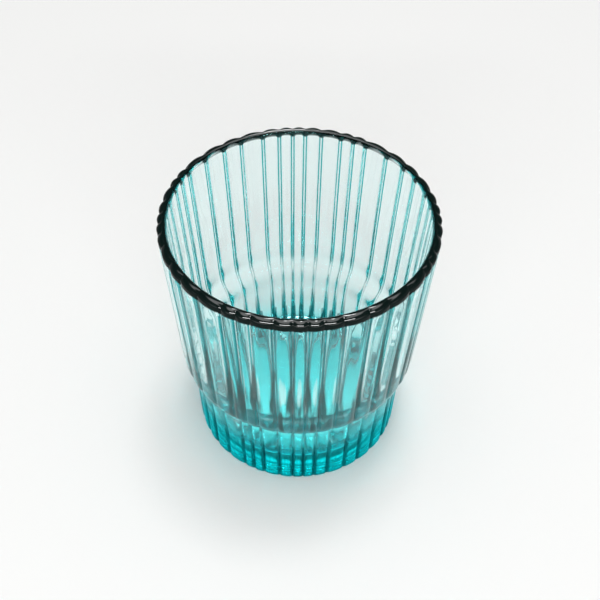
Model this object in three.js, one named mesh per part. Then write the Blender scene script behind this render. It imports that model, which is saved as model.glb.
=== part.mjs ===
// A ribbed drinking tumbler, pressed as one piece of teal glass.
// Millimetres, +Z up, with the origin at the centre of the resting face.
import * as THREE from 'three';

// Driving dimensions, in millimetres. Radii are taken over the crests of the flutes.
const GLASS_HEIGHT = 90;
const RIM_RADIUS = 42.5;
const RIM_THICKNESS = 3.1;
const WALL_THICKNESS = 3;
const SHOULDER_HEIGHT = 35.3;
const SHOULDER_RADIUS = 38.9;
const SHOULDER_ROUNDING = 5.3;
const FOOT_HEIGHT = 25.7;
const FOOT_TOP_RADIUS = 35.5;
const FOOT_ROUNDING = 5.9;
const FOOT_BOTTOM_RADIUS = 34.5;
const FOOT_EDGE_ROUNDING = 1.2;

// The inside
const INNER_SHOULDER_RISE = 6.5;
const INNER_SHOULDER_ROUNDING = 6;
const INNER_FOOT_DROP = 0.5;
const INNER_FOOT_ROUNDING = 5.5;
const FOOT_WALL_THICKNESS = 5;
const FLOOR_HEIGHT = 7.5;
const FLOOR_CORNER_RADIUS = 8.5;

// The underside: a shallow recess inside a flat ring that the tumbler stands on
const RECESS_RADIUS = 28.5;
const RECESS_DEPTH = 1.2;
const RECESS_SLOPE_WIDTH = 1.6;

// The flutes: eleven uneven ones fill a quarter of the way round, and the quarter is repeated
const FLUTE_DEPTH = 0.8;
const FLUTE_FADE_HEIGHT = 3;
const RIM_NOTCH_DEPTH = 0.5;
const QUARTERS = 4;
const FIRST_GROOVE_DEGREES = -9.4;
const FLUTE_WIDTH_SHARES = [7.4, 5.7, 6.2, 7.6, 10.6, 9, 10.7, 11.6, 6.1, 6.1, 9];

// How finely the smooth shape is cut into flat faces
const FACES_PER_FLUTE = 4;
const RIM_STEPS = 4;
const SHOULDER_STEPS = 5;
const CORNER_STEPS = 3;

// Colour and finish of the glass
const GLASS_COLOUR = 0x8fdcdc;
const GLASS_ROUGHNESS = 0.05;

// A row is one ring of the surface: its radius over the crests, its height and the depth of
// its grooves. The rows run from the centre of the underside, up the outside, over the rim
// and down the inside to the centre of the floor.
function row(radius, height, grooveDepth) {
  return { radius, height, grooveDepth };
}

// Rows along a curve, from its start to its end
function rowsAlong(curve, steps, grooveDepth) {
  return curve.getPoints(steps).map((point) => row(point.x, point.y, grooveDepth));
}

// An S-shaped curve that leaves one straight stretch and runs smoothly into the next
function blend(start, startDirection, startPull, end, endDirection, endPull) {
  const startHandle = start.clone().addScaledVector(startDirection, startPull);
  const endHandle = end.clone().addScaledVector(endDirection, -endPull);
  return new THREE.CubicBezierCurve(start, startHandle, endHandle, end);
}

function direction(from, to) {
  return to.clone().sub(from).normalize();
}

// Outside corners, from the foot upwards
const footEdge = new THREE.Vector2(FOOT_BOTTOM_RADIUS, FOOT_EDGE_ROUNDING);
const footTop = new THREE.Vector2(FOOT_TOP_RADIUS, FOOT_HEIGHT);
const shoulder = new THREE.Vector2(SHOULDER_RADIUS, SHOULDER_HEIGHT);
const rimCentreRadius = RIM_RADIUS - RIM_THICKNESS / 2;
const rimCentreHeight = GLASS_HEIGHT - RIM_THICKNESS / 2;
const rimOuter = new THREE.Vector2(RIM_RADIUS, rimCentreHeight);

function underside() {
  const slopeStart = RECESS_RADIUS - RECESS_SLOPE_WIDTH;
  return [
    row(0, RECESS_DEPTH, 0),
    row(slopeStart, RECESS_DEPTH, 0),
    row(RECESS_RADIUS, 0, 0),
    row(FOOT_BOTTOM_RADIUS - FOOT_EDGE_ROUNDING - FLUTE_DEPTH, 0, 0),
  ];
}

function outside() {
  const footDirection = direction(footEdge, footTop);
  const wallDirection = direction(shoulder, rimOuter);
  const curve = blend(footTop, footDirection, FOOT_ROUNDING, shoulder, wallDirection, SHOULDER_ROUNDING);
  const fadeStart = rimCentreHeight - FLUTE_FADE_HEIGHT;
  return [
    row(footEdge.x, footEdge.y, FLUTE_DEPTH),
    ...rowsAlong(curve, SHOULDER_STEPS, FLUTE_DEPTH),
    row(wallRadius(fadeStart), fadeStart, FLUTE_DEPTH),
  ];
}

// The outer wall's radius over the crests, between the shoulder and the rim
function wallRadius(height) {
  const share = (height - shoulder.y) / (rimOuter.y - shoulder.y);
  return THREE.MathUtils.lerp(shoulder.x, rimOuter.x, share);
}

// The rounded rim: the notches are full on its outer side and run out at its top
function rim() {
  const rows = [];
  for (let step = 0; step <= RIM_STEPS; step += 1) {
    const angle = Math.PI * step / RIM_STEPS;
    const radius = rimCentreRadius + RIM_THICKNESS / 2 * Math.cos(angle);
    const height = rimCentreHeight + RIM_THICKNESS / 2 * Math.sin(angle);
    const notch = RIM_NOTCH_DEPTH * Math.max(Math.cos(angle), 0);
    rows.push(row(radius, height, notch));
  }
  return rows;
}

function inside() {
  const wallStartHeight = rimCentreHeight - FLUTE_FADE_HEIGHT;
  const wallStart = new THREE.Vector2(wallRadius(wallStartHeight) - WALL_THICKNESS, wallStartHeight);
  const bendHeight = SHOULDER_HEIGHT + INNER_SHOULDER_RISE;
  const wallEnd = new THREE.Vector2(wallRadius(bendHeight) - WALL_THICKNESS, bendHeight);
  const footStart = new THREE.Vector2(FOOT_TOP_RADIUS - FOOT_WALL_THICKNESS, FOOT_HEIGHT - INNER_FOOT_DROP);
  const cornerCentreHeight = FLOOR_HEIGHT + FLOOR_CORNER_RADIUS;
  const footEnd = new THREE.Vector2(FOOT_BOTTOM_RADIUS - FOOT_WALL_THICKNESS, cornerCentreHeight);
  const curve = blend(
    wallEnd,
    direction(wallStart, wallEnd),
    INNER_SHOULDER_ROUNDING,
    footStart,
    direction(footStart, footEnd),
    INNER_FOOT_ROUNDING,
  );
  return [
    row(wallStart.x, wallStart.y, 0),
    ...rowsAlong(curve, SHOULDER_STEPS, 0),
    ...floorCorner(footEnd),
    row(0, FLOOR_HEIGHT, 0),
  ];
}

// The quarter round between the foot's inner wall and the floor
function floorCorner(start) {
  const rows = [];
  for (let step = 0; step <= CORNER_STEPS; step += 1) {
    const angle = Math.PI / 2 * step / CORNER_STEPS;
    const radius = start.x - FLOOR_CORNER_RADIUS * (1 - Math.cos(angle));
    const height = start.y - FLOOR_CORNER_RADIUS * Math.sin(angle);
    rows.push(row(radius, height, 0));
  }
  return rows;
}

// The angle of each groove, from the first one all the way round to it again
function grooveAngles() {
  const quarterTotal = FLUTE_WIDTH_SHARES.reduce((sum, share) => sum + share, 0);
  const angles = [THREE.MathUtils.degToRad(FIRST_GROOVE_DEGREES)];
  for (let quarter = 0; quarter < QUARTERS; quarter += 1) {
    for (const share of FLUTE_WIDTH_SHARES) {
      const width = 2 * Math.PI / QUARTERS * share / quarterTotal;
      angles.push(angles[angles.length - 1] + width);
    }
  }
  return angles;
}

// Turns the rows into a round body, then moves its columns onto the uneven flutes: a column
// stands at a set share of its flute's width, and lies deeper the nearer it is to a groove.
function flutedBody(rows) {
  const angles = grooveAngles();
  const fluteCount = angles.length - 1;
  const columns = fluteCount * FACES_PER_FLUTE;
  const profile = rows.map((ring) => new THREE.Vector2(ring.radius, ring.height));
  const geometry = new THREE.LatheGeometry(profile, columns);
  const position = geometry.getAttribute('position');
  for (let column = 0; column <= columns; column += 1) {
    const around = column % columns;
    const flute = Math.floor(around / FACES_PER_FLUTE);
    const share = (around % FACES_PER_FLUTE) / FACES_PER_FLUTE;
    const angle = THREE.MathUtils.lerp(angles[flute], angles[flute + 1], share);
    const fall = (2 * share - 1) ** 2;
    rows.forEach((ring, index) => {
      const radius = ring.radius - ring.grooveDepth * fall;
      const vertex = column * rows.length + index;
      position.setXYZ(vertex, radius * Math.cos(angle), ring.height, -radius * Math.sin(angle));
    });
  }
  geometry.deleteAttribute('normal');
  geometry.computeVertexNormals();
  geometry.rotateX(Math.PI / 2);
  return geometry;
}

const glass = new THREE.MeshStandardMaterial({
  color: GLASS_COLOUR,
  roughness: GLASS_ROUGHNESS,
  metalness: 0,
});

const rows = [...underside(), ...outside(), ...rim(), ...inside()];
const tumbler = new THREE.Mesh(flutedBody(rows), glass);
tumbler.name = 'tumbler_glass';

const part = new THREE.Group();
part.add(tumbler);

export default part;
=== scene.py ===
# %% [markdown]
# # A fluted tumbler of teal glass
# The real glass is one pressing: molten glass is squeezed between a fluted mould and a smooth
# plunger. So it is made here as one closed surface too, fine enough for its flutes to bend light
# properly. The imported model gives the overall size, and every other size below is a real one in
# metres.

# %% Load the frame
import math
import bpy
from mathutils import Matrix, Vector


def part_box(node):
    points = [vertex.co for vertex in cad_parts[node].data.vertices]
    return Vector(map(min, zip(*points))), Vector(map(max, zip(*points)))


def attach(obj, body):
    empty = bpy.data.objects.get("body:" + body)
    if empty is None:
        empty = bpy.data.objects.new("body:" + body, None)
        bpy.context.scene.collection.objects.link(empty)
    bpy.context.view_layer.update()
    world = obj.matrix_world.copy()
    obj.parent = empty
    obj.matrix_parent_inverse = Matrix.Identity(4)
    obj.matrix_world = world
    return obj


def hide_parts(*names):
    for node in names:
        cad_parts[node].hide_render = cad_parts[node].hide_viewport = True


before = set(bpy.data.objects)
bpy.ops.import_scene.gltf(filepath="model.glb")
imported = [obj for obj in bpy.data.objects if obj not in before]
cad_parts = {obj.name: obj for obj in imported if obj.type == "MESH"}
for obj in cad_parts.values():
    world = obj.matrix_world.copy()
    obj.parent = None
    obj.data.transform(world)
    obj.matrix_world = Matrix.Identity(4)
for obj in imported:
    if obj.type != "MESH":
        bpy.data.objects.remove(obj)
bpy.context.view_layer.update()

from types import SimpleNamespace

import bpy
import numpy as np
from mathutils import Matrix

GLASS_NODE = "tumbler_glass"
GLASS_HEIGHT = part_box(GLASS_NODE)[1][2]
RIM_RADIUS = 0.0425

# %% [markdown]
# ## The profile
# A plunger leaves the inside smooth and the mould leaves the outside fluted, so the section is the
# one drawing that matters. It could be traced point by point. Straight stretches joined by arcs
# and S-curves are chosen instead, because a mould maker draws it so and every radius keeps its
# meaning.

# %% Sizes of the section
RIM_THICKNESS = 0.0031
RIM_POWER = 1.6
WALL_THICKNESS = 0.0030
SHOULDER_HEIGHT = 0.0353
SHOULDER_RADIUS = 0.0389
SHOULDER_PULL = 0.0053
FOOT_HEIGHT = 0.0257
FOOT_TOP_RADIUS = 0.0355
FOOT_PULL = 0.0059
FOOT_BOTTOM_RADIUS = 0.0345
FOOT_EDGE_RADIUS = 0.0012
FOOT_WALL_THICKNESS = 0.0050
INNER_SHOULDER_RISE = 0.0065
INNER_SHOULDER_PULL = 0.0060
INNER_FOOT_DROP = 0.0005
INNER_FOOT_PULL = 0.0055
FLOOR_HEIGHT = 0.0075
FLOOR_CORNER_RADIUS = 0.0085
RECESS_RADIUS = 0.0285
RECESS_DEPTH = 0.0012
RECESS_SLOPE = 0.0016

# %% How many points each stretch of the section has
RECESS_POINTS = 6
RECESS_SLOPE_POINTS = 7
FOOT_EDGE_POINTS = 6
FOOT_WALL_POINTS = 14
SHOULDER_POINTS = 15
WALL_POINTS = 32
RIM_KNOB_POINTS = 13
RIM_LIP_POINTS = 9
INNER_WALL_POINTS = 8
FLOOR_CORNER_POINTS = 11
FLOOR_POINTS = 6


# %% Curves that the section is drawn with
def straight(start, end, count):
    """Points from start to end: start plus an even share of the way."""
    share = np.linspace(0, 1, count)[:, None]
    return np.array(start) + share * (np.array(end) - np.array(start))


def arc(centre, radius, first, last, count):
    """Points on a circle: centre plus radius times the cosine and sine of an even run of angles,
    given in degrees."""
    angle = np.radians(np.linspace(first, last, count))
    return np.array(centre) + radius * np.column_stack([np.cos(angle), np.sin(angle)])


def s_curve(start, heading_start, pull_start, end, heading_end, pull_end, count):
    """A cubic Bezier curve that leaves start along one heading and comes into end along the
    other. Its four points weigh (1 - t)^3, 3(1 - t)^2 t, 3(1 - t) t^2 and t^3."""
    t = np.linspace(0, 1, count)[:, None]
    first = np.array(start) + pull_start * heading_start
    second = np.array(end) - pull_end * heading_end
    near = (1 - t) ** 3 * start + 3 * (1 - t) ** 2 * t * first
    far = 3 * (1 - t) * t**2 * second + t**3 * end
    return near + far


def heading(start, end):
    """The unit vector from start to end."""
    way = np.array(end) - np.array(start)
    return way / np.linalg.norm(way)


def chamfer_round(centre, radius, power, count):
    """A quarter round that is flatter in its middle than a circle: centre plus radius times the
    cosine and the sine of an even run of angles, each raised to 2 over the power. A power of 2
    gives the circle."""
    angle = np.linspace(0, np.pi / 2, count)
    turn = np.column_stack([np.cos(angle), np.sin(angle)])
    return np.array(centre) + radius * turn ** (2 / power)


# %% The corners of the section
rim_centre = np.array([RIM_RADIUS - RIM_THICKNESS / 2, GLASS_HEIGHT - RIM_THICKNESS / 2])
rim_outer = np.array([RIM_RADIUS, rim_centre[1]])
rim_inner = np.array([RIM_RADIUS - RIM_THICKNESS, rim_centre[1]])
shoulder = np.array([SHOULDER_RADIUS, SHOULDER_HEIGHT])
foot_top = np.array([FOOT_TOP_RADIUS, FOOT_HEIGHT])
foot_edge = np.array([FOOT_BOTTOM_RADIUS, FOOT_EDGE_RADIUS])
recess_edge = np.array([RECESS_RADIUS - 2 * RECESS_SLOPE, RECESS_DEPTH])
ring_edge = np.array([RECESS_RADIUS, 0])
foot_edge_centre = (FOOT_BOTTOM_RADIUS - FOOT_EDGE_RADIUS, FOOT_EDGE_RADIUS)

inner_bend_height = SHOULDER_HEIGHT + INNER_SHOULDER_RISE
wall_share = (inner_bend_height - SHOULDER_HEIGHT) / (rim_outer[1] - SHOULDER_HEIGHT)
bend_radius = SHOULDER_RADIUS + wall_share * (RIM_RADIUS - SHOULDER_RADIUS) - WALL_THICKNESS
inner_bend = np.array([bend_radius, inner_bend_height])
inner_foot = np.array([FOOT_TOP_RADIUS - FOOT_WALL_THICKNESS, FOOT_HEIGHT - INNER_FOOT_DROP])
floor_corner = np.array(
    [FOOT_BOTTOM_RADIUS - FOOT_WALL_THICKNESS, FLOOR_HEIGHT + FLOOR_CORNER_RADIUS]
)
floor_corner_centre = floor_corner - [FLOOR_CORNER_RADIUS, 0]

outwards = np.array([1, 0])
outer_foot_heading = heading(foot_edge, foot_top)
outer_wall_heading = heading(shoulder, rim_outer)
inner_wall_heading = heading(rim_inner, inner_bend)
inner_foot_heading = heading(inner_foot, floor_corner)
print("Inner bend:", inner_bend, "floor corner:", floor_corner)

# %% The section, from the centre of the underside round to the centre of the floor
recess = straight((0, RECESS_DEPTH), recess_edge, RECESS_POINTS)[:-1]
recess_slope = s_curve(
    recess_edge, outwards, RECESS_SLOPE, ring_edge, outwards, RECESS_SLOPE / 2, RECESS_SLOPE_POINTS
)
underside = np.vstack([recess, recess_slope])
foot_rounding = arc(foot_edge_centre, FOOT_EDGE_RADIUS, -90, 0, FOOT_EDGE_POINTS)
foot_wall = straight(foot_edge, foot_top, FOOT_WALL_POINTS)[1:-1]
outer_shoulder = s_curve(
    foot_top, outer_foot_heading, FOOT_PULL,
    shoulder, outer_wall_heading, SHOULDER_PULL, SHOULDER_POINTS,
)
outer_wall = straight(shoulder, rim_outer, WALL_POINTS)[1:-1]
rim_knobs = chamfer_round(rim_centre, RIM_THICKNESS / 2, RIM_POWER, RIM_KNOB_POINTS)
rim_lip = arc(rim_centre, RIM_THICKNESS / 2, 90, 180, RIM_LIP_POINTS)[1:]
inner_wall = straight(rim_inner, inner_bend, INNER_WALL_POINTS)[1:-1]
inner_shoulder = s_curve(
    inner_bend, inner_wall_heading, INNER_SHOULDER_PULL,
    inner_foot, inner_foot_heading, INNER_FOOT_PULL, SHOULDER_POINTS,
)
inner_corner = arc(floor_corner_centre, FLOOR_CORNER_RADIUS, 0, -90, FLOOR_CORNER_POINTS)
floor = straight((floor_corner_centre[0], FLOOR_HEIGHT), (0, FLOOR_HEIGHT), FLOOR_POINTS)[1:]

outside_rows = np.vstack([underside, foot_rounding, foot_wall, outer_shoulder, outer_wall])
rim_rows = np.vstack([rim_knobs, rim_lip])
inside_rows = np.vstack([inner_wall, inner_shoulder, inner_corner, floor])
section = np.vstack([outside_rows, rim_rows, inside_rows])
print("Section:", len(section), "points")

# %% [markdown]
# ## The flutes
# The mould was cut with flutes of uneven width, and a run of eleven of them fills a quarter of the
# way round. Each is flat in its middle and falls off steeply at its edges. They are deepest at the
# shoulder and the foot, shallow at the waist between them, and end as round knobs on the rim. They
# could be cut with a boolean or bumped in the material, but only real geometry bends the light as
# the glass does, so each ring of points is moved inwards instead.

# %% Flute widths and how deep they are along the section
FLUTE_WIDTHS = [7.4, 5.7, 6.2, 7.6, 10.6, 9.0, 10.7, 11.6, 6.1, 6.1, 9.0]
QUARTERS = 4
FIRST_GROOVE = math.radians(-9.4)
FOOT_CROWN = 0.00080
WAIST_CROWN = 0.00030
SHOULDER_CROWN = 0.00060
WALL_CROWN = 0.00025
RIM_CROWN = 0.00060
VALLEY_DEPTH = 0.00036
VALLEY_WIDTH = 0.0009
COLUMNS_PER_FLUTE = 14
FAR_FROM_GROOVE = 0.01

# The heights between which one depth gives way to the next
FOOT_TO_WAIST = (0.014, 0.026)
WAIST_TO_SHOULDER = (0.024, 0.031)
SHOULDER_TO_WALL = (0.036, 0.062)
WALL_TO_RIM = (0.0835, 0.0885)
KNOB_END = (math.radians(70), math.radians(115))
INSIDE_BAND_TOP = 0.023

CROWN_CHANGES = [
    (FOOT_CROWN, WAIST_CROWN, FOOT_TO_WAIST),
    (WAIST_CROWN, SHOULDER_CROWN, WAIST_TO_SHOULDER),
    (SHOULDER_CROWN, WALL_CROWN, SHOULDER_TO_WALL),
    (WALL_CROWN, RIM_CROWN, WALL_TO_RIM),
]

# %% Grooves round the glass, and columns that stand closer together near them
widths = np.tile(FLUTE_WIDTHS, QUARTERS)
widths = widths / widths.sum() * 2 * np.pi
grooves = FIRST_GROOVE + np.concatenate([[0], np.cumsum(widths)[:-1]])
share_of_flute = 0.5 - 0.5 * np.cos(np.pi * np.arange(COLUMNS_PER_FLUTE) / COLUMNS_PER_FLUTE)
angles = (grooves[:, None] + widths[:, None] * share_of_flute).ravel()
half_widths = np.repeat(widths / 2, COLUMNS_PER_FLUTE)
nearest_edge = np.minimum(share_of_flute, 1 - share_of_flute)
from_valley = np.tile(nearest_edge, len(widths)) * 2 * half_widths
print("Flutes:", len(grooves), "in", len(angles), "columns")


# %% Where the grooves run along the section
def step(value, start, end):
    """0 below start and 1 above end, and 3w^2 - 2w^3 of the way w between them."""
    way = np.clip((value - start) / (end - start), 0, 1)
    return way**2 * (3 - 2 * way)


def rim_turn(points):
    """How far round the rim's arc each point stands, in radians: 0 on the outer wall, pi on the
    inner one."""
    away = points - rim_centre
    turn = np.arctan2(away[:, 1], away[:, 0])
    first, last = len(outside_rows), len(outside_rows) + len(rim_rows)
    order = np.arange(len(points))
    return np.where(order < first, 0, np.where(order < last, turn, np.pi))


def groove_share(points):
    """1 where the glass is fluted. It rises evenly from 0 over the foot's edge, and falls back to
    0 by the smooth step over the top of the rim."""
    order = np.arange(len(points)) - len(underside)
    foot = np.clip(order / len(foot_rounding), 0, 1)
    return foot * (1 - step(rim_turn(points), *KNOB_END))


# %% The fluted surface
def fluted_surface(points, share):
    """Each section point turned about the axis. The surface sinks by its crown's depth times the
    fourth power of the way from the flute's middle to its groove, or the square of it on the rim.
    The wall sinks further by a bell curve of the distance from the groove. It all goes towards
    the axis on the walls, and towards the middle of the rim's round on the rim."""
    radius, height = points[:, 0][:, None], points[:, 1][:, None]
    crown_depth = FOOT_CROWN
    for below, above, span in CROWN_CHANGES:
        crown_depth = crown_depth + (above - below) * step(height, *span)
    on_rim = step(height, *WALL_TO_RIM)
    way = 1 - from_valley / half_widths
    rounding = way**4 + (way**2 - way**4) * on_rim
    bell = np.exp(-((from_valley * radius / VALLEY_WIDTH) ** 2))
    on_wall = step(height, *SHOULDER_TO_WALL) * (1 - on_rim)
    depth = share[:, None] * (crown_depth * rounding + VALLEY_DEPTH * bell * on_wall)
    lean = rim_turn(points)[:, None]
    turned = radius - depth * np.cos(lean)
    sunk = height - depth * np.sin(lean)
    return np.stack([turned * np.cos(angles), turned * np.sin(angles), sunk], axis=-1)


def distance_from_groove(points, share):
    """How far each point lies from its nearest groove round the glass: the angle between them
    times the radius. Inside, above the foot, it is far."""
    near = (share > 0) | (points[:, 1] < INSIDE_BAND_TOP)
    return np.where(near[:, None], from_valley * points[:, 0][:, None], FAR_FROM_GROOVE)


# %% Put the surface into a mesh
def closed_turning(name, grid, from_groove):
    """A mesh from a grid of rings whose first and last ring shrink to one point each. The
    distance from the nearest groove stays on its points, for the colour."""
    rings, columns = grid.shape[0], grid.shape[1]
    body = grid[1:-1].reshape(-1, 3)
    points = np.vstack([grid[0].mean(axis=0), body, grid[-1].mean(axis=0)])
    here = np.arange(columns)
    ahead = (here + 1) % columns
    ring = 1 + np.arange(rings - 3)[:, None] * columns
    corners = [ring + here, ring + ahead, ring + columns + ahead, ring + columns + here]
    quads = np.stack(corners, axis=-1)
    last = len(points) - 1
    end = 1 + (rings - 3) * columns
    start_fan = np.column_stack([np.zeros(columns, int), 1 + ahead, 1 + here])
    end_fan = np.column_stack([end + here, end + ahead, np.full(columns, last)])
    faces = quads.reshape(-1, 4).tolist() + start_fan.tolist() + end_fan.tolist()
    mesh = bpy.data.meshes.new(name)
    mesh.from_pydata(points.tolist(), [], faces)
    mesh.shade_smooth()
    kept = np.concatenate([[FAR_FROM_GROOVE], from_groove[1:-1].ravel(), [FAR_FROM_GROOVE]])
    attribute = mesh.attributes.new("from_groove", "FLOAT", "POINT")
    attribute.data.foreach_set("value", kept.astype(np.float32))
    piece = bpy.data.objects.new(name, mesh)
    bpy.context.collection.objects.link(piece)
    return piece


share_of_grooves = groove_share(section)
surface = fluted_surface(section, share_of_grooves)
tumbler = closed_turning("tumbler", surface, distance_from_groove(section, share_of_grooves))
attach(tumbler, "root")
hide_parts(GLASS_NODE)
print("Tumbler:", len(tumbler.data.polygons), "faces")


# %% [markdown]
# ## Shader maths
# A mask is a sum or product of a few measures, such as a height or a radius. Wired by hand, each
# one would take a dozen lines of nodes. So a small class wraps a socket, and its operators add the
# nodes, and one method adds any other node.

# %% Shader maths as expressions
class Value:
    """Wraps a socket, so that sums and products of values add Math nodes."""

    def __init__(self, tree, socket):
        self.tree, self.socket = tree, socket

    def math(self, operation, first, second):
        inputs = {0: first, 1: second}
        return Nodes(self.tree).add("ShaderNodeMath", {"operation": operation}, inputs)

    def __add__(self, other):
        return self.math("ADD", self, other)

    __radd__ = __add__

    def __sub__(self, other):
        return self.math("SUBTRACT", self, other)

    def __rsub__(self, other):
        return self.math("SUBTRACT", other, self)

    def __mul__(self, other):
        return self.math("MULTIPLY", self, other)

    __rmul__ = __mul__

    def rise(self, start, end):
        """0 below start and 1 above end, with a smooth step between them."""
        settings = {"interpolation_type": "SMOOTHSTEP"}
        inputs = {"Value": self, "From Min": start, "From Max": end}
        return Nodes(self.tree).add("ShaderNodeMapRange", settings, inputs, "Result")


class Nodes:
    """Adds nodes to one tree: a type, its settings, and the values or links of its sockets."""

    def __init__(self, tree):
        self.tree = tree

    def add(self, kind, settings=None, inputs=None, output=0):
        node = self.tree.nodes.new(kind)
        for name, value in (settings or {}).items():
            setattr(node, name, value)
        for name, value in (inputs or {}).items():
            if isinstance(value, Value):
                self.tree.links.new(value.socket, node.inputs[name])
            else:
                node.inputs[name].default_value = value
        return Value(self.tree, node.outputs[output]) if node.outputs else node

    def paint(self, under, colour, mask):
        """The colour laid over the one under it, where the mask is 1."""
        inputs = {"Factor": mask, 6: under, 7: colour}
        return self.add("ShaderNodeMix", {"data_type": "RGBA"}, inputs, 2)


# %% [markdown]
# ## The glass
# Teal glass is clear, and its colour comes from how far light travels in it: a thin wall is nearly
# colourless, and light that runs sideways through the glass comes out deep teal. An absorbing
# volume gives the even part of that. A denser volume would darken the walls before the foot is
# deep enough, so where light is caught for longest the rest is painted shade on the surface: two
# thin lines beside each groove, bands in the foot, the base, and a dark veil between the flutes at
# the shoulder. A pale disc in the middle of the base is a painted pool of light. Seen from
# outside, the foot also has a clear teal coat, which paints the deep shade of the light caught
# there. The rim holds so much of the light that it looks black, so its black is painted shade, in
# a shader of its own whose coat gives the white glints.

# %% The clear glass, and where its outer face is
# A pair of numbers is the start and the end of a smooth step. It is in metres along a height, a
# radius or a distance from the groove, or it runs from 0, seen squarely, to 1, seen edge on.
GLASS_IOR = 1.52
SMOOTH = 0.0
ABSORPTION_PER_METRE = 30.0
ABSORBED_COLOUR = (0.0, 0.915, 0.925, 1)
REFLECTION_TINT = (0.40, 1.0, 1.0, 1)
PALE_GLASS = (0.97, 1.0, 1.0, 1)
WAVE_SCALE = 140.0
WAVE_STRENGTH = 0.02
WAVE_HEIGHT = 0.0005
NOISE_DETAIL = 2.0
NOISE_MIDDLE = 0.5
EVEN_BLEND = 0.5
OUTSIDE = (0.0318, 0.0322)

# %% The lines of painted shade beside each groove
# Painted shade: dark teal lines where light is turned aside at each groove.
FLANK_COLOUR = (0.0, 0.20, 0.22, 1)
FLANK_START = (0.00016, 0.00026)
FLANK_END = (0.00064, 0.00076)
FLANK_FADE = (0.026, 0.037)
FLANK_LEFT = 0.35

# %% The foot and the base: painted shade, and a pale disc of painted light
# Painted shade: a deeper teal low on the outer foot, where light is caught in the thick glass.
LOW_COLOUR = (0.35, 0.97, 0.98, 1)
LOW_FADE = (0.006, 0.022)
# Painted shade: a teal coat over the outside of the foot deepens the light caught in it and tints
# what the foot reflects.
FOOT_SHADE_TINT = (0.0, 0.96, 0.98, 1)
FOOT_SHADE_TINT_WEIGHT = 0.97
FOOT_SHADE_TINT_IOR = 1.01
FOOT_SHADE_TINT_FADE = (0.010, 0.030)
# Painted shade: dark bands along the grooves of the foot.
FOOT_BAND_COLOUR = (0.0, 0.06, 0.07, 1)
FOOT_BAND_EDGE = (0.00065, 0.00105)
FOOT_BAND_TOP = (0.013, 0.025)
FOOT_BAND_END = (0.0082, 0.0095)
# Painted shade and light: the base is turquoise, darker towards its edge, and the disc inside
# DISC_EDGE is left pale as a painted pool of light.
BASE_COLOUR = (0.05, 0.80, 0.83, 1)
BASE_EDGE_COLOUR = (0.0, 0.48, 0.53, 1)
BASE_EDGE = (0.0225, 0.0265)
BASE_FADE = (0.0015, 0.0035)
DISC_EDGE = (0.0055, 0.0075)

# %% The veil of painted shade between the flutes
# Painted shade: a dark ragged veil along the grooves of the shoulder, where light is caught in the
# glass.
SHADE_VEIL_COLOUR = (0.01, 0.016, 0.016, 1)
SHADE_VEIL_WIDTH = 0.0026
SHADE_VEIL_SPREAD = (0.034, 0.072)
SHADE_VEIL_RAGGED = 0.0022
SHADE_VEIL_SOFTNESS = (-0.0004, 0.0009)
SHADE_VEIL_FOOT = (0.0280, 0.0310)
SHADE_VEIL_LEAST = 0.55
STREAK_STRETCH = 0.08
STREAK_SCALE = 420.0
STREAK_EDGE = (0.44, 0.60)

# %% The rim, painted black as shade, with a glossy coat for its glints
# Painted shade: the rim's near-black, where the real glass holds so much light that it looks
# black.
RIM_SHADE_COLOUR = (0.004, 0.010, 0.009, 1)
RIM_ROUGHNESS = 0.05
RIM_SPECULAR = 0.04
RIM_FADE = (0.0866, 0.0872)
RIM_SIDE = (0.0396, 0.0401)
RIM_DRIP = 0.0004
RIM_DRIP_EDGE = (0.0004, 0.0012)
RIM_COAT = 1.0
RIM_COAT_IOR = 1.8
COAT_FADE = (0.0887, 0.0890)
COAT_FACING = (0.09, 0.22)


# %% Measures that the masks are made from
def measures(nodes):
    """Where a point is on the glass, how it is met, and a noise drawn out into upright streaks.
    Outside is 1 on the outer face of the foot, and above the foot on both faces. From outside is
    1 where light meets a face from the air, and 0 where it meets it from within the glass."""
    place = nodes.add("ShaderNodeTexCoord", output="Object")
    across, along, height = (
        nodes.add("ShaderNodeSeparateXYZ", {}, {"Vector": place}, axis) for axis in "XYZ"
    )
    squares = across * across + along * along
    radius = nodes.add("ShaderNodeMath", {"operation": "SQRT"}, {0: squares})
    groove = nodes.add("ShaderNodeAttribute", {"attribute_name": "from_groove"}, {}, "Fac")
    facing = nodes.add("ShaderNodeLayerWeight", {}, {"Blend": EVEN_BLEND}, "Facing")
    squeezed = {"X": across, "Y": along, "Z": height * STREAK_STRETCH}
    upright = nodes.add("ShaderNodeCombineXYZ", {}, squeezed)
    grain = {"Vector": upright, "Scale": STREAK_SCALE, "Detail": NOISE_DETAIL}
    return SimpleNamespace(
        place=place,
        height=height,
        radius=radius,
        groove=groove,
        facing=facing,
        outside=radius.rise(*OUTSIDE),
        from_outside=1 - nodes.add("ShaderNodeNewGeometry", output="Backfacing"),
        streaks=nodes.add("ShaderNodeTexNoise", {}, grain),
    )


# %% Masks of the tints
def flank_mask(at):
    """Two thin lines of painted shade beside each groove, fainter on the foot."""
    line = at.groove.rise(*FLANK_START) * (1 - at.groove.rise(*FLANK_END)) * at.outside
    return line * (FLANK_LEFT + (1 - FLANK_LEFT) * at.height.rise(*FLANK_FADE))


def foot_band_mask(at):
    """A band of painted shade along each groove of the foot. Inside, it ends at the floor's
    corner.
    """
    band = (1 - at.groove.rise(*FOOT_BAND_EDGE)) * (1 - at.height.rise(*FOOT_BAND_TOP))
    return band * (at.outside + (1 - at.outside) * at.height.rise(*FOOT_BAND_END))


def base_mask(at):
    """The underside and the lowest few millimetres of the foot, painted turquoise as shade, but
    for a disc in the middle left pale as a painted pool of light.
    """
    return (1 - at.height.rise(*BASE_FADE)) * at.radius.rise(*DISC_EDGE)


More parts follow.
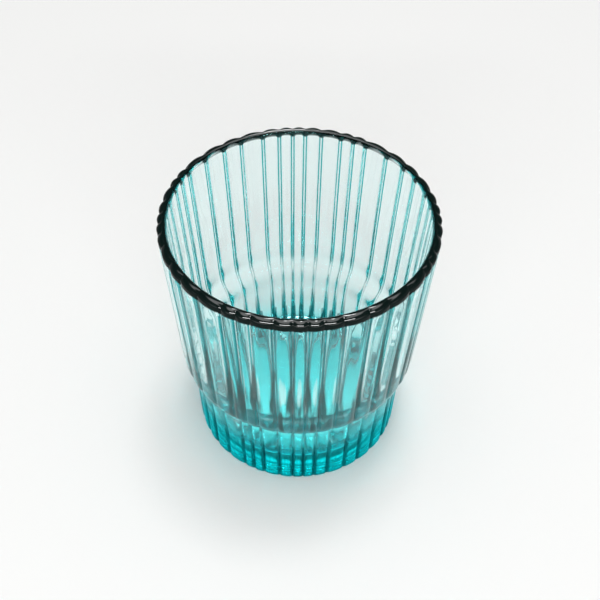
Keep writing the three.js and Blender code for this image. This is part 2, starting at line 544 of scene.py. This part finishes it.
def shade_veil_mask(at):
    """A ragged veil of painted shade along the grooves that narrows upwards, seen from outside
    only.
    """
    width = SHADE_VEIL_WIDTH * (1 - at.height.rise(*SHADE_VEIL_SPREAD))
    spread = at.groove - width - SHADE_VEIL_RAGGED * (at.streaks - NOISE_MIDDLE)
    veil_shade = (1 - spread.rise(*SHADE_VEIL_SOFTNESS)) * at.height.rise(*SHADE_VEIL_FOOT) * at.from_outside
    return veil_shade * (SHADE_VEIL_LEAST + (1 - SHADE_VEIL_LEAST) * at.streaks.rise(*STREAK_EDGE))


def foot_shade_coat_mask(at):
    """Where the teal coat paints shade: the outer face of the foot, seen from outside only, fading
    out over the shoulder.
    """
    return (1 - at.height.rise(*FOOT_SHADE_TINT_FADE)) * at.outside * at.from_outside


def rim_mask(at):
    """The rim, painted dark as shade, which comes a little further down at each groove."""
    lowered = at.height + RIM_DRIP * (1 - at.groove.rise(*RIM_DRIP_EDGE))
    return lowered.rise(*RIM_FADE) * at.radius.rise(*RIM_SIDE)


def glint_mask(at):
    """The top of the rim, where it is seen squarely."""
    return at.height.rise(*COAT_FADE) * (1 - at.facing.rise(*COAT_FACING))


# %% The glass material
def glass_colour(nodes, at):
    """Nearly colourless glass, with painted shade and a pale disc of painted light laid over it
    one after another.
    """
    low = (1 - at.height.rise(*LOW_FADE)) * at.outside
    colour = nodes.paint(PALE_GLASS, LOW_COLOUR, low)
    colour = nodes.paint(colour, FLANK_COLOUR, flank_mask(at))
    colour = nodes.paint(colour, SHADE_VEIL_COLOUR, shade_veil_mask(at))
    base = nodes.paint(BASE_COLOUR, BASE_EDGE_COLOUR, at.radius.rise(*BASE_EDGE))
    colour = nodes.paint(colour, base, base_mask(at))
    return nodes.paint(colour, FOOT_BAND_COLOUR, foot_band_mask(at))


def clear_shader(nodes, at, ripple):
    """Refracting glass, with a teal coat on the outer face of the foot that paints the deep shade
    of light caught there.
    """
    inputs = {
        "Base Color": glass_colour(nodes, at),
        "Roughness": SMOOTH,
        "IOR": GLASS_IOR,
        "Transmission Weight": 1.0,
        "Specular Tint": REFLECTION_TINT,
        "Coat Weight": foot_shade_coat_mask(at) * FOOT_SHADE_TINT_WEIGHT,
        "Coat IOR": FOOT_SHADE_TINT_IOR,
        "Coat Tint": FOOT_SHADE_TINT,
        "Coat Roughness": SMOOTH,
        "Normal": ripple,
    }
    return nodes.add("ShaderNodeBsdfPrincipled", {}, inputs)


def rim_painted_shade_shader(nodes, at, ripple):
    """Nearly black glass that lets no light through: its black is painted shade. A glossy coat
    lies on its top.
    """
    inputs = {
        "Base Color": RIM_SHADE_COLOUR,
        "Roughness": RIM_ROUGHNESS,
        "IOR": GLASS_IOR,
        "Specular IOR Level": RIM_SPECULAR,
        "Coat Weight": glint_mask(at) * RIM_COAT,
        "Coat IOR": RIM_COAT_IOR,
        "Coat Roughness": SMOOTH,
        "Normal": ripple,
    }
    return nodes.add("ShaderNodeBsdfPrincipled", {}, inputs)


def teal_glass():
    """Clear teal glass with faint waves over an absorbing volume, and a rim painted dark as shade.
    """
    material = bpy.data.materials.new("teal_glass")
    material.use_nodes = True
    tree = material.node_tree
    tree.nodes.clear()
    nodes = Nodes(tree)
    at = measures(nodes)
    grain = {"Vector": at.place, "Scale": WAVE_SCALE, "Detail": NOISE_DETAIL}
    waves = nodes.add("ShaderNodeTexNoise", {}, grain)
    swell = {"Strength": WAVE_STRENGTH, "Distance": WAVE_HEIGHT, "Height": waves}
    ripple = nodes.add("ShaderNodeBump", {}, swell)
    clear, dark = clear_shader(nodes, at, ripple), rim_painted_shade_shader(nodes, at, ripple)
    shader = nodes.add("ShaderNodeMixShader", {}, {0: rim_mask(at), 1: clear, 2: dark})
    absorption = {"Color": ABSORBED_COLOUR, "Density": ABSORPTION_PER_METRE}
    depth = nodes.add("ShaderNodeVolumeAbsorption", {}, absorption)
    nodes.add("ShaderNodeOutputMaterial", {}, {"Surface": shader, "Volume": depth})
    return material


tumbler.data.materials.append(teal_glass())
print("Material:", len(tumbler.data.materials[0].node_tree.nodes), "nodes")

# %% [markdown]
# ## The floor and the light
# The glass stands on a pale sheet. Clear glass shows what is round it, so the room matters as much
# as the lamps: a broad pale ceiling lights the sheet, a pale band runs round the horizon, and the
# walls between them are dark, which draws the grooves and keeps the rim dark. A picture of a real
# room could do the same, but three soft steps are enough and show what each of them does. A small
# lamp overhead throws the soft shadow, and a long thin one in front draws the glints on the rim.

# %% Floor
FLOOR_RADIUS = 4.0
FLOOR_CORNERS = 96
FLOOR_LEVEL = -0.0001
FLOOR_COLOUR = (0.93, 0.93, 0.92, 1)
FLOOR_ROUGHNESS = 0.9


def pale_floor():
    """A round sheet: the floor's radius times the cosine and sine of an even run of angles."""
    turn = np.arange(FLOOR_CORNERS) * 2 * np.pi / FLOOR_CORNERS
    edge = FLOOR_RADIUS * np.column_stack([np.cos(turn), np.sin(turn)])
    corners = np.column_stack([edge, np.full(FLOOR_CORNERS, FLOOR_LEVEL)])
    mesh = bpy.data.meshes.new("floor")
    mesh.from_pydata(corners.tolist(), [], [list(range(FLOOR_CORNERS))])
    sheet = bpy.data.objects.new("floor", mesh)
    bpy.context.collection.objects.link(sheet)
    material = bpy.data.materials.new("pale_sheet")
    material.use_nodes = True
    shader = material.node_tree.nodes["Principled BSDF"]
    shader.inputs["Base Color"].default_value = FLOOR_COLOUR
    shader.inputs["Roughness"].default_value = FLOOR_ROUGHNESS
    sheet.data.materials.append(material)
    return sheet


pale_floor()
print("Floor:", 2 * FLOOR_RADIUS, "m across")

# %% Lamps
TOP_PLACE = (0.15, 0.30, 1.9)
TOP_AIM = (0, 0, 0)
TOP_SIZE = (0.4, 0.4)
TOP_POWER = 8.5
FRONT_PLACE = (0.0, -1.0, 0.62)
FRONT_AIM = (0, 0, 0.08)
FRONT_SIZE = (1.2, 0.08)
FRONT_POWER = 5.5


def soft_lamp(name, place, aim, size, power):
    """A flat lamp that shines from its place towards its aim, with its width kept level."""
    lamp = bpy.data.lights.new(name, "AREA")
    lamp.shape = "RECTANGLE"
    lamp.size, lamp.size_y = size
    lamp.energy = power
    fitting = bpy.data.objects.new(name, lamp)
    back = heading(aim, place)
    side = np.cross((0, 0, 1), back)
    side /= np.linalg.norm(side)
    turn = np.column_stack([side, np.cross(back, side), back])
    fitting.matrix_world = Matrix.Translation(place) @ Matrix(turn.tolist()).to_4x4()
    bpy.context.collection.objects.link(fitting)
    print(name, "at", place, "with", power, "W")


soft_lamp("top_lamp", TOP_PLACE, TOP_AIM, TOP_SIZE, TOP_POWER)
soft_lamp("front_lamp", FRONT_PLACE, FRONT_AIM, FRONT_SIZE, FRONT_POWER)

# %% Room
CEILING_LEVEL = 1.45
BAND_LEVEL = 0.92
WALL_LEVEL = 0.03
CEILING_EDGE = (0.72, 0.84)
BAND_EDGE = (0.12, 0.30)

world = bpy.data.worlds.new("room")
bpy.context.scene.world = world
world.use_nodes = True
room = Nodes(world.node_tree)
way = room.add("ShaderNodeTexCoord", output="Generated")
up = room.add("ShaderNodeSeparateXYZ", {}, {0: way}, "Z")
ceiling = up.rise(*CEILING_EDGE) * (CEILING_LEVEL - WALL_LEVEL)
band = (1 - up.rise(*BAND_EDGE)) * (BAND_LEVEL - WALL_LEVEL)
level = ceiling + band + WALL_LEVEL
background = world.node_tree.nodes["Background"]
world.node_tree.links.new(level.socket, background.inputs["Color"])
print("Room:", len(world.node_tree.nodes), "nodes")

# %% [markdown]
# ## The camera
# The place and lens come from fitting a camera to the rim, the grooves and the outline in the
# photograph. It could be set by eye, but then neither the shape nor the size of a difference could
# be trusted.

# %% Camera
CAMERA_PLACE = (0.0, -0.2196, 0.3003)
CAMERA_DOWN = math.radians(48.47)
CAMERA_YAW = math.radians(0.12)
CAMERA_ROLL = math.radians(-0.88)
SENSOR_WIDTH = 36.0
FOCAL_PIXELS = 1022.0
FRAME_PIXELS = 600
NEAREST_SEEN = 0.01

camera_data = bpy.data.cameras.new("camera")
camera_data.sensor_width = SENSOR_WIDTH
camera_data.lens = SENSOR_WIDTH * FOCAL_PIXELS / FRAME_PIXELS
camera_data.clip_start = NEAREST_SEEN
camera = bpy.data.objects.new("camera", camera_data)
bpy.context.collection.objects.link(camera)
tilt = Matrix.Rotation(math.pi / 2 - CAMERA_DOWN, 4, "X")
turn = Matrix.Rotation(-CAMERA_YAW, 4, "Z")
roll = Matrix.Rotation(-CAMERA_ROLL, 4, "Z")
camera.matrix_world = Matrix.Translation(CAMERA_PLACE) @ turn @ tilt @ roll
print("Lens:", round(camera_data.lens, 2), "mm")

# %% [markdown]
# ## The paths of light
# On its way to the camera light crosses four faces of glass or more, and in the foot it may be
# caught for a while. A short limit would end those paths in black specks, so a long one is set.

# %% How often light may turn in the glass
GLASS_BOUNCES = 32
GLOSSY_BOUNCES = 16
DIFFUSE_BOUNCES = 4
NO_BLUR = 0.0

scene = bpy.context.scene
scene.camera = camera
scene.view_settings.view_transform = "Standard"
scene.cycles.max_bounces = GLASS_BOUNCES
scene.cycles.transmission_bounces = GLASS_BOUNCES
scene.cycles.glossy_bounces = GLOSSY_BOUNCES
scene.cycles.diffuse_bounces = DIFFUSE_BOUNCES
scene.cycles.blur_glossy = NO_BLUR
print("Bounces:", scene.cycles.max_bounces)

# %% [markdown]
# ## The end
# The view layer is brought up to date once more. The finished glass has to keep inside the box
# of the imported model.

# %% Finish
bpy.context.view_layer.update()
